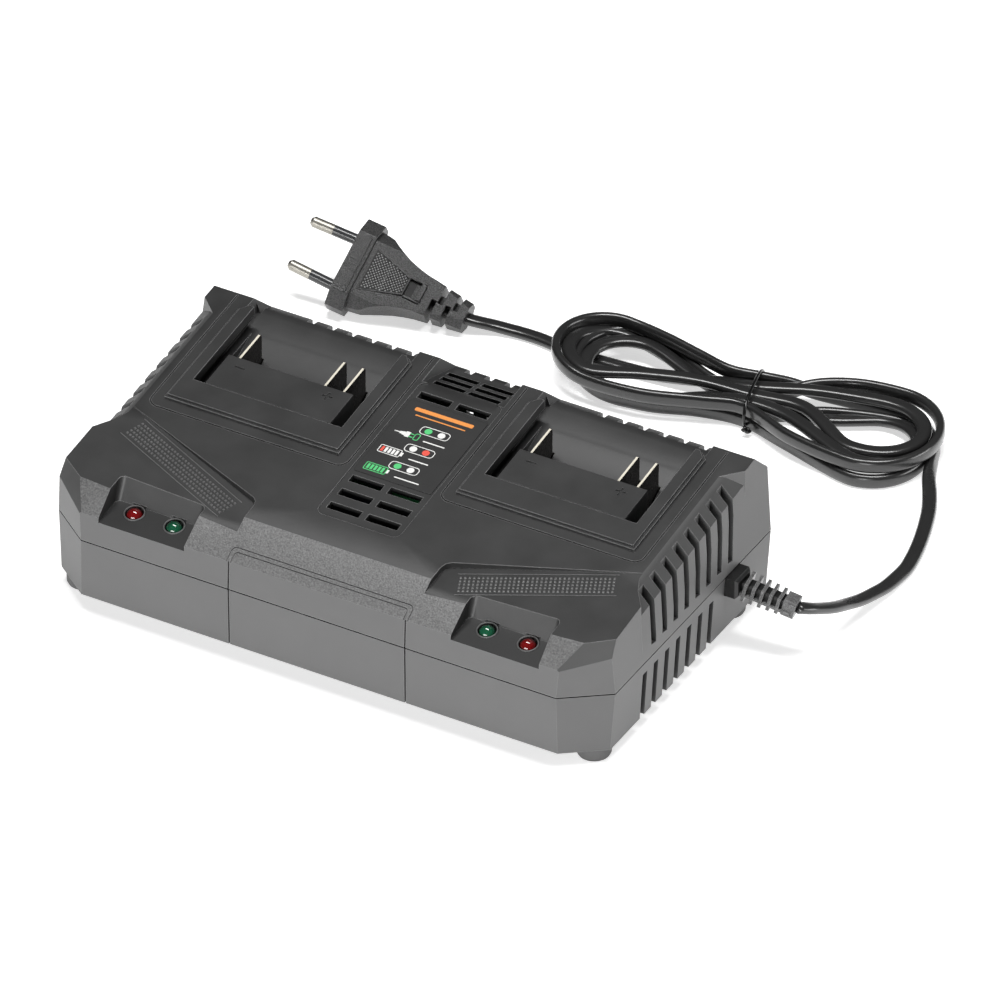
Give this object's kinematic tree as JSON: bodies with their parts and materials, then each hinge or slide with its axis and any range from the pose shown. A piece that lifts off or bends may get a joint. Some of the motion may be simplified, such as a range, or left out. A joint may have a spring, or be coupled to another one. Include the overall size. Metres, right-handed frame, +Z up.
{
  "type": "power tool battery charger",
  "caption": "Twin-bay mains charger for slide-on power tool batteries, with sloping docks, terminal blades, indicator lamps and a tied flat mains lead with a round-pin plug.",
  "frame": {"origin": "middle of the case's footprint, on the surface its feet stand on", "axes": "+X towards the side where the mains lead leaves, +Y towards the rear, +Z up"},
  "size_m": [0.2713, 0.242, 0.0625],
  "materials": {
    "case_lower": "satin moulded plastic",
    "case_upper": "satin moulded plastic with a fine grain",
    "label": "printed film",
    "foot_rubber": "soft, matt",
    "screw_steel": "zinc plated",
    "circuit_board": "lacquered glass-fibre board",
    "block_plastic": "satin moulded plastic",
    "contact_metal": "nickel-plated strip",
    "lamp_red": "clear tinted dome, unlit",
    "lamp_green": "clear tinted dome, unlit",
    "ferrite": "ground ferrite",
    "coil_tape": "yellow winding tape",
    "capacitor_sleeve": "shrunk sleeve",
    "heatsink_metal": "extruded",
    "moulded_black": "moulded package",
    "choke_copper": "enamelled copper winding",
    "fuse_glass": "clear tube",
    "film_capacitor": "smooth box",
    "gland_rubber": "moulded, satin",
    "lead_brown": "insulated wire",
    "lead_blue": "insulated wire",
    "cord_sheath": "smooth flexible sheath",
    "tie_plastic": "plastic-coated wire",
    "plug_plastic": "moulded, fine texture",
    "pin_metal": "nickel plated",
    "pin_sleeve": "moulded sleeve"
  },
  "bodies": {
    "charger": {"base_shell": "case_lower", "top_cover": "case_upper", "label_plate": "label", "foot_front_left": "foot_rubber", "foot_front_right": "foot_rubber", "foot_rear_left": "foot_rubber", "foot_rear_right": "foot_rubber", "case_screw_1": "screw_steel", "case_screw_2": "screw_steel", "case_screw_3": "screw_steel", "case_screw_4": "screw_steel", "main_board": "circuit_board", "board_screw_1": "screw_steel", "board_screw_2": "screw_steel", "board_screw_3": "screw_steel", "board_screw_4": "screw_steel", "terminal_block_left": "block_plastic", "terminal_block_right": "block_plastic", "blade_left_minus": "contact_metal", "blade_left_inner": "contact_metal", "blade_left_outer": "contact_metal", "blade_right_minus": "contact_metal", "blade_right_inner": "contact_metal", "blade_right_outer": "contact_metal", "lamp_board_left": "circuit_board", "lamp_board_right": "circuit_board", "lamp_red_left": "lamp_red", "lamp_green_left": "lamp_green", "lamp_red_right": "lamp_red", "lamp_green_right": "lamp_green", "transformer_core_left": "ferrite", "transformer_coil_left": "coil_tape", "transformer_core_right": "ferrite", "transformer_coil_right": "coil_tape", "bulk_capacitor_left": "capacitor_sleeve", "bulk_capacitor_right": "capacitor_sleeve", "heatsink_left": "heatsink_metal", "heatsink_right": "heatsink_metal", "transistor_left": "moulded_black", "transistor_right": "moulded_black", "mains_choke": "choke_copper", "mains_fuse": "fuse_glass", "filter_capacitor": "film_capacitor", "rectifier": "moulded_black", "strain_relief": "gland_rubber", "lead_live": "lead_brown", "lead_neutral": "lead_blue", "cord_lead": "cord_sheath", "cord_hank": "cord_sheath", "cord_tail": "cord_sheath", "cord_tie": "tie_plastic", "plug_body": "plug_plastic", "plug_pin_upper": "pin_metal", "plug_pin_lower": "pin_metal", "plug_sleeve_upper": "pin_sleeve", "plug_sleeve_lower": "pin_sleeve"}
  },
  "joints": []
}
